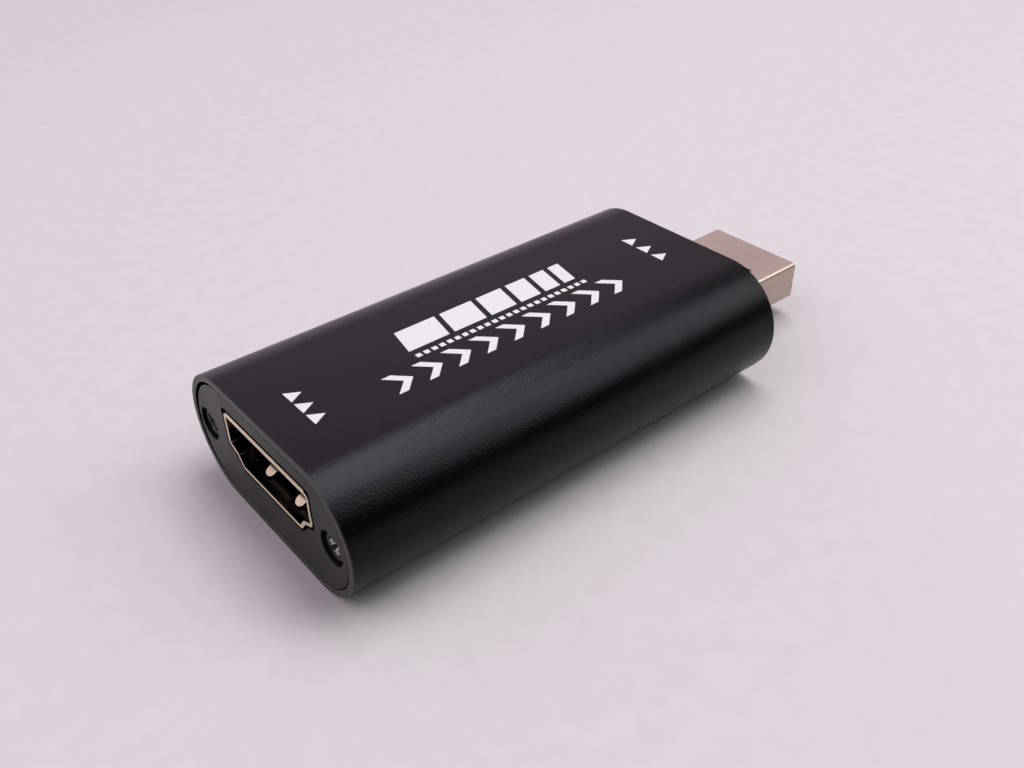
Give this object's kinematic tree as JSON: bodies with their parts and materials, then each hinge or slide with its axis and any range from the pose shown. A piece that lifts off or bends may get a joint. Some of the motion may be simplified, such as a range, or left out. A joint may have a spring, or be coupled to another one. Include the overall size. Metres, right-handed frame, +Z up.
{
  "type": "video capture box",
  "caption": "Small oval metal box that captures video: a screwed end plate with a video socket at one end and a flat data plug at the other.",
  "frame": {"origin": "middle of the whole length and width, on the base", "axes": "+X from the video socket to the data plug, +Z up, +Y to the left when looking along +X"},
  "size_m": [0.0652, 0.028, 0.0128],
  "materials": {
    "black_anodised": "fine-blasted black anodised aluminium, satin",
    "end_plate": "black anodised, smooth satin",
    "black_screw": "black-oxide steel, slightly glossy",
    "board": "green solder mask on glass fibre",
    "socket_plating": "warm pale nickel plating, satin",
    "plug_plating": "warm pale nickel plating, satin",
    "black_insulator": "black glass-filled moulding",
    "gold_contact": "gold flash over nickel",
    "latch_leaf": "warm pale plated spring bronze",
    "chip_body": "black moulded epoxy",
    "crystal_case": "bright metal lid",
    "ferrite": "dark pressed ferrite",
    "capacitor_body": "tan ceramic with tinned ends",
    "resistor_body": "black film on ceramic with tinned ends"
  },
  "bodies": {
    "housing": {"sleeve": "black_anodised", "input_end_plate": "end_plate", "output_end_plate": "end_plate", "end_screws": "black_screw", "circuit_board": "board", "socket_shell": "socket_plating", "socket_insulator": "black_insulator", "socket_contacts": "gold_contact", "plug_shell": "plug_plating", "plug_insulator": "black_insulator", "plug_contacts": "gold_contact", "capture_chip": "chip_body", "memory_chip": "chip_body", "voltage_regulators": "chip_body", "surge_arrays": "chip_body", "clock_crystal": "crystal_case", "power_choke": "ferrite", "capacitors": "capacitor_body", "resistors": "resistor_body"},
    "upper_left_leaf": {"upper_left_latch_spring": "latch_leaf"},
    "upper_right_leaf": {"upper_right_latch_spring": "latch_leaf"},
    "lower_left_leaf": {"lower_left_latch_spring": "latch_leaf"},
    "lower_right_leaf": {"lower_right_latch_spring": "latch_leaf"}
  },
  "joints": [
    {"name": "upper_left_latch", "type": "hinge", "parent": "housing", "child": "upper_left_leaf", "pos_m": [-0.02735, 0.002, 0.00992], "axis": [0, 1, 0], "range_deg": [0, 3.8], "stiffness_Nm_per_rad": 0.02},
    {"name": "upper_right_latch", "type": "hinge", "parent": "housing", "child": "upper_right_leaf", "pos_m": [-0.02735, -0.0032, 0.00992], "axis": [0, 1, 0], "range_deg": [0, 3.8], "stiffness_Nm_per_rad": 0.02},
    {"name": "lower_left_latch", "type": "hinge", "parent": "housing", "child": "lower_left_leaf", "pos_m": [-0.02735, 0.002, 0.00507], "axis": [0, -1, 0], "range_deg": [0, 3.8], "stiffness_Nm_per_rad": 0.02},
    {"name": "lower_right_latch", "type": "hinge", "parent": "housing", "child": "lower_right_leaf", "pos_m": [-0.02735, -0.0032, 0.00507], "axis": [0, -1, 0], "range_deg": [0, 3.8], "stiffness_Nm_per_rad": 0.02}
  ]
}
